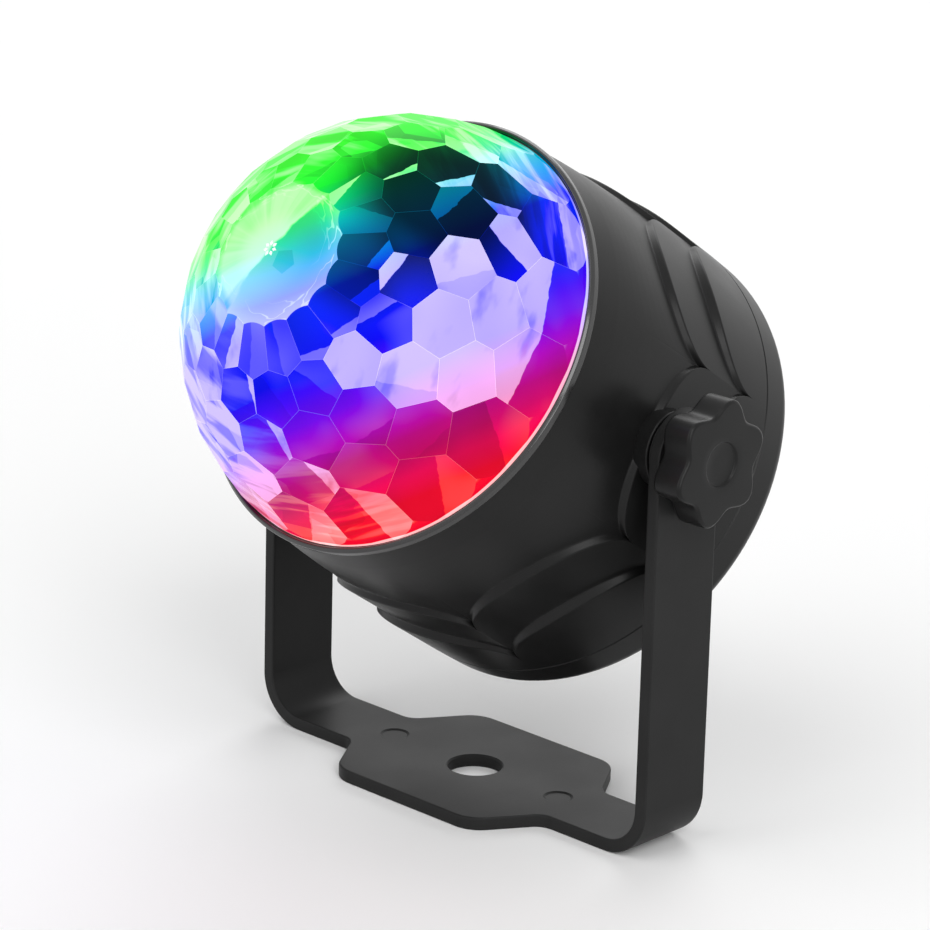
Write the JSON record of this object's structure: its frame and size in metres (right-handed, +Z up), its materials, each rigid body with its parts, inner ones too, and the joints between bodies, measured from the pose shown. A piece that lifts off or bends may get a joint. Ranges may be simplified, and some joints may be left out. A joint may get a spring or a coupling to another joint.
{
  "type": "led disco ball light",
  "caption": "Small stage light: a clear faceted dome turns over coloured LEDs in a round stepped housing, tilting on two clamp knobs in a U-shaped bracket with a flat foot.",
  "frame": {"origin": "bottom middle of the whole light's box, on the surface it stands on", "axes": "+Z up, the dome looks towards -Y and up, and the tilt axis runs along X"},
  "size_m": [0.1124, 0.112, 0.1287],
  "materials": {
    "black_satin": "satin, with a fine moulded grain",
    "black_gloss": "smooth, half gloss",
    "clear": "clear, polished",
    "white_plastic": "satin white",
    "nylon": "natural",
    "steel": "bright",
    "brass": "turned",
    "rubber": "matt",
    "board_white": "white solder mask",
    "board_green": "green solder mask",
    "coil_case": "tape-wrapped",
    "sleeve": "shrink sleeve",
    "led_red": "tinted",
    "led_green": "tinted",
    "led_blue": "tinted"
  },
  "bodies": {
    "bracket": {"u_bracket": "black_satin", "pivot_washer_left": "rubber", "pivot_washer_right": "rubber"},
    "head": {"bezel_ring": "black_gloss", "capacitor": "sleeve", "cord_grommet": "rubber", "gear_case": "black_gloss", "gear_cover": "nylon", "gear_screw_1": "steel", "gear_screw_2": "steel", "housing_shell": "black_satin", "idler_pin": "steel", "led_blue": "led_blue", "led_board": "board_white", "led_board_screw_1": "steel", "led_board_screw_2": "steel", "led_board_screw_3": "steel", "led_green": "led_green", "led_red": "led_red", "lens_blue": "clear", "lens_green": "clear", "lens_red": "clear", "main_board": "board_green", "main_board_screw_1": "steel", "main_board_screw_2": "steel", "microphone": "steel", "motor": "steel", "rear_cap": "black_satin", "rear_cap_screw_1": "steel", "rear_cap_screw_2": "steel", "rear_cap_screw_3": "steel", "reflector": "white_plastic", "remote_receiver": "black_gloss", "threaded_insert_left": "brass", "threaded_insert_right": "brass", "transformer": "coil_case"},
    "dome_rotor": {"dome": "clear", "spindle": "clear", "output_shaft": "steel", "output_gear": "nylon"},
    "idler": {"idler_gear": "nylon"},
    "pinion": {"motor_pinion": "brass", "motor_shaft": "steel"},
    "right_washer": {"knob_washer_right": "steel"},
    "right_knob": {"knob_right": "black_satin", "stud_right": "steel"},
    "left_washer": {"knob_washer_left": "steel"},
    "left_knob": {"knob_left": "black_satin", "stud_left": "steel"}
  },
  "joints": [
    {"name": "head_tilt", "type": "hinge", "parent": "bracket", "child": "head", "pos_m": [0, 0.00486, 0.0748], "axis": [-1, 0, 0], "range_deg": [-34, 146]},
    {"name": "dome_spin", "type": "hinge", "parent": "head", "child": "dome_rotor", "pos_m": [0, 0.00486, 0.0748], "axis": [0, -0.829, 0.5592], "continuous": true},
    {"name": "idler_spin", "type": "hinge", "parent": "head", "child": "idler", "pos_m": [0, 0.01269, 0.08641], "axis": [0, -0.829, 0.5592], "continuous": true},
    {"name": "pinion_spin", "type": "hinge", "parent": "head", "child": "pinion", "pos_m": [0.00938, 0.00829, 0.07988], "axis": [0, -0.829, 0.5592], "continuous": true},
    {"name": "right_washer_release", "type": "slide", "parent": "head", "child": "right_washer", "axis": [1, 0, 0], "range_m": [0, 0.0016]},
    {"name": "right_knob_turn", "type": "hinge", "parent": "right_washer", "child": "right_knob", "pos_m": [0, 0.00486, 0.0748], "axis": [1, 0, 0], "range_deg": [0, 720]},
    {"name": "left_washer_release", "type": "slide", "parent": "head", "child": "left_washer", "axis": [-1, 0, 0], "range_m": [0, 0.0016]},
    {"name": "left_knob_turn", "type": "hinge", "parent": "left_washer", "child": "left_knob", "pos_m": [0, 0.00486, 0.0748], "axis": [-1, 0, 0], "range_deg": [0, 720]}
  ],
  "couplings": [
    {"joint": "idler_spin", "follows": "dome_spin", "ratio": -3},
    {"joint": "pinion_spin", "follows": "dome_spin", "ratio": 7.5},
    {"joint": "right_knob_turn", "follows": "right_washer_release", "rad_per_m": 7854},
    {"joint": "left_knob_turn", "follows": "left_washer_release", "rad_per_m": 7854}
  ]
}
